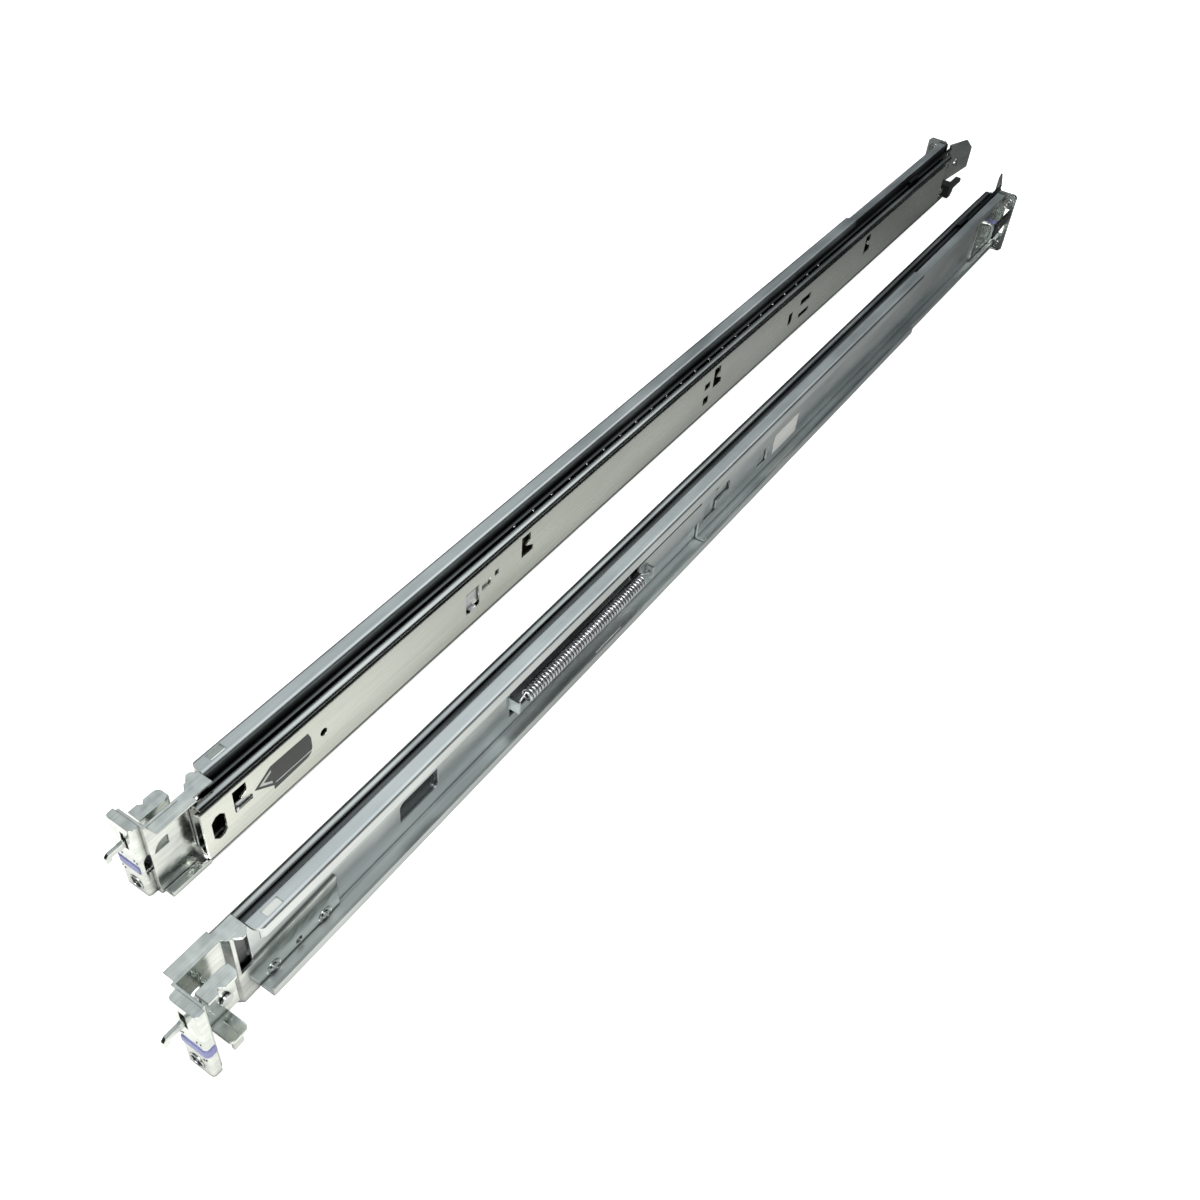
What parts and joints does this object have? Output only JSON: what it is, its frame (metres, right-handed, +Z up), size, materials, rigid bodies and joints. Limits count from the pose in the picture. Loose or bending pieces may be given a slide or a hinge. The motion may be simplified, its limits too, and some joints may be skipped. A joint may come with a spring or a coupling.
{
  "type": "sliding server rail pair",
  "caption": "Pair of telescopic ball-bearing rails with sprung rack latches, a depth-adjusting rear section and keyed slots that carry a sliding server in a rack.",
  "frame": {"origin": "centre of the bounding box at its underside, between the two rails", "axes": "+Y along the rails towards the rear of the rack, +Z up, +X from the left rail to the right rail"},
  "size_m": [0.0936, 0.8532, 0.043],
  "materials": {
    "galvanised": "galvanised sheet",
    "slide_steel": "dark zinc-plated slide steel",
    "inner_steel": "light zinc-plated steel",
    "spring_steel": "spring wire",
    "ball_steel": "polished balls",
    "cage_steel": "thin passivated strip",
    "rivet_steel": "plated rivets and pins",
    "black_steel": "black coated hook",
    "black_plastic": "moulded end stop",
    "lavender_plastic": "moulded touch pieces"
  },
  "bodies": {
    "frame": {"outer_channel_left": "galvanised", "front_bracket_left": "galvanised", "front_plate_left": "galvanised", "front_bush_left": "rivet_steel", "front_touch_piece_left": "lavender_plastic", "front_pivot_pin_left": "rivet_steel", "front_rivets_left": "rivet_steel", "slide_fixed_left": "slide_steel", "end_stop_left": "black_plastic", "flare_plate_left": "inner_steel", "extension_spring_left": "spring_steel", "outer_channel_right": "galvanised", "front_bracket_right": "galvanised", "front_plate_right": "galvanised", "front_bush_right": "rivet_steel", "front_touch_piece_right": "lavender_plastic", "front_pivot_pin_right": "rivet_steel", "front_rivets_right": "rivet_steel", "slide_fixed_right": "slide_steel", "end_stop_right": "black_plastic", "flare_plate_right": "inner_steel", "extension_spring_right": "spring_steel"},
    "front_lever_left": {"front_latch_left": "galvanised"},
    "middle_member_left": {"slide_middle_left": "slide_steel"},
    "outer_ball_strip_left": {"outer_cage_left": "cage_steel", "outer_balls_left": "ball_steel"},
    "inner_ball_strip_left": {"inner_cage_left": "cage_steel", "inner_balls_left": "ball_steel"},
    "inner_member_left": {"slide_inner_left": "inner_steel"},
    "server_catch_left": {"server_latch_left": "spring_steel"},
    "lock_lever_left": {"slide_lock_left": "spring_steel"},
    "rear_section_left": {"rear_channel_left": "galvanised", "rear_bracket_left": "galvanised", "rear_studs_left": "rivet_steel", "rear_pivot_pin_left": "rivet_steel", "rear_touch_piece_left": "lavender_plastic", "rear_rivets_left": "rivet_steel"},
    "rear_lever_left": {"rear_latch_left": "black_steel"},
    "front_lever_right": {"front_latch_right": "galvanised"},
    "middle_member_right": {"slide_middle_right": "slide_steel"},
    "outer_ball_strip_right": {"outer_cage_right": "cage_steel", "outer_balls_right": "ball_steel"},
    "inner_ball_strip_right": {"inner_cage_right": "cage_steel", "inner_balls_right": "ball_steel"},
    "inner_member_right": {"slide_inner_right": "inner_steel"},
    "server_catch_right": {"server_latch_right": "spring_steel"},
    "lock_lever_right": {"slide_lock_right": "spring_steel"},
    "rear_section_right": {"rear_channel_right": "galvanised", "rear_bracket_right": "galvanised", "rear_studs_right": "rivet_steel", "rear_pivot_pin_right": "rivet_steel", "rear_touch_piece_right": "lavender_plastic", "rear_rivets_right": "rivet_steel"},
    "rear_lever_right": {"rear_latch_right": "black_steel"}
  },
  "joints": [
    {"name": "front_lever_pivot_left", "type": "hinge", "parent": "frame", "child": "front_lever_left", "pos_m": [-0.0355, -0.36365, 0.024], "axis": [-1, 0, 0], "range_deg": [0, 12], "stiffness_Nm_per_rad": 0.05},
    {"name": "middle_slide_left", "type": "slide", "parent": "frame", "child": "middle_member_left", "axis": [0, -1, 0], "range_m": [0, 0.355]},
    {"name": "outer_ball_roll_left", "type": "slide", "parent": "frame", "child": "outer_ball_strip_left", "axis": [0, -1, 0], "range_m": [0, 0.1775]},
    {"name": "inner_slide_left", "type": "slide", "parent": "middle_member_left", "child": "inner_member_left", "axis": [0, -1, 0], "range_m": [0, 0.36]},
    {"name": "inner_ball_roll_left", "type": "slide", "parent": "middle_member_left", "child": "inner_ball_strip_left", "axis": [0, -1, 0], "range_m": [0, 0.18]},
    {"name": "server_catch_flex_left", "type": "hinge", "parent": "inner_member_left", "child": "server_catch_left", "pos_m": [-0.0205, -0.31535, 0.022], "axis": [0, 0, -1], "range_deg": [0, 6], "stiffness_Nm_per_rad": 0.05},
    {"name": "lock_lever_pivot_left", "type": "hinge", "parent": "inner_member_left", "child": "lock_lever_left", "pos_m": [-0.021, -0.16965, 0.022], "axis": [-1, 0, 0], "range_deg": [0, 8], "stiffness_Nm_per_rad": 0.05},
    {"name": "rear_draw_left", "type": "slide", "parent": "frame", "child": "rear_section_left", "axis": [0, 1, 0], "range_m": [-0.012, 0.178], "stiffness_N_per_m": 40, "deforming": ["extension_spring_left"]},
    {"name": "rear_lever_pivot_left", "type": "hinge", "parent": "rear_section_left", "child": "rear_lever_left", "pos_m": [-0.0398, 0.38865, 0.022], "axis": [1, 0, 0], "range_deg": [0, 12], "stiffness_Nm_per_rad": 0.05},
    {"name": "front_lever_pivot_right", "type": "hinge", "parent": "frame", "child": "front_lever_right", "pos_m": [0.0355, -0.40065, 0.024], "axis": [-1, 0, 0], "range_deg": [0, 12], "stiffness_Nm_per_rad": 0.05},
    {"name": "middle_slide_right", "type": "slide", "parent": "frame", "child": "middle_member_right", "axis": [0, -1, 0], "range_m": [0, 0.355]},
    {"name": "outer_ball_roll_right", "type": "slide", "parent": "frame", "child": "outer_ball_strip_right", "axis": [0, -1, 0], "range_m": [0, 0.1775]},
    {"name": "inner_slide_right", "type": "slide", "parent": "middle_member_right", "child": "inner_member_right", "axis": [0, -1, 0], "range_m": [0, 0.36]},
    {"name": "inner_ball_roll_right", "type": "slide", "parent": "middle_member_right", "child": "inner_ball_strip_right", "axis": [0, -1, 0], "range_m": [0, 0.18]},
    {"name": "server_catch_flex_right", "type": "hinge", "parent": "inner_member_right", "child": "server_catch_right", "pos_m": [0.0205, -0.35235, 0.022], "axis": [0, 0, 1], "range_deg": [0, 6], "stiffness_Nm_per_rad": 0.05},
    {"name": "lock_lever_pivot_right", "type": "hinge", "parent": "inner_member_right", "child": "lock_lever_right", "pos_m": [0.021, -0.20665, 0.022], "axis": [-1, 0, 0], "range_deg": [0, 8], "stiffness_Nm_per_rad": 0.05},
    {"name": "rear_draw_right", "type": "slide", "parent": "frame", "child": "rear_section_right", "axis": [0, 1, 0], "range_m": [0, 0.19], "stiffness_N_per_m": 40, "deforming": ["extension_spring_right"]},
    {"name": "rear_lever_pivot_right", "type": "hinge", "parent": "rear_section_right", "child": "rear_lever_right", "pos_m": [0.0398, 0.33965, 0.022], "axis": [1, 0, 0], "range_deg": [0, 12], "stiffness_Nm_per_rad": 0.05}
  ],
  "couplings": [
    {"joint": "outer_ball_roll_left", "follows": "middle_slide_left", "ratio": 0.5},
    {"joint": "inner_ball_roll_left", "follows": "inner_slide_left", "ratio": 0.5},
    {"joint": "outer_ball_roll_right", "follows": "middle_slide_right", "ratio": 0.5},
    {"joint": "inner_ball_roll_right", "follows": "inner_slide_right", "ratio": 0.5}
  ]
}
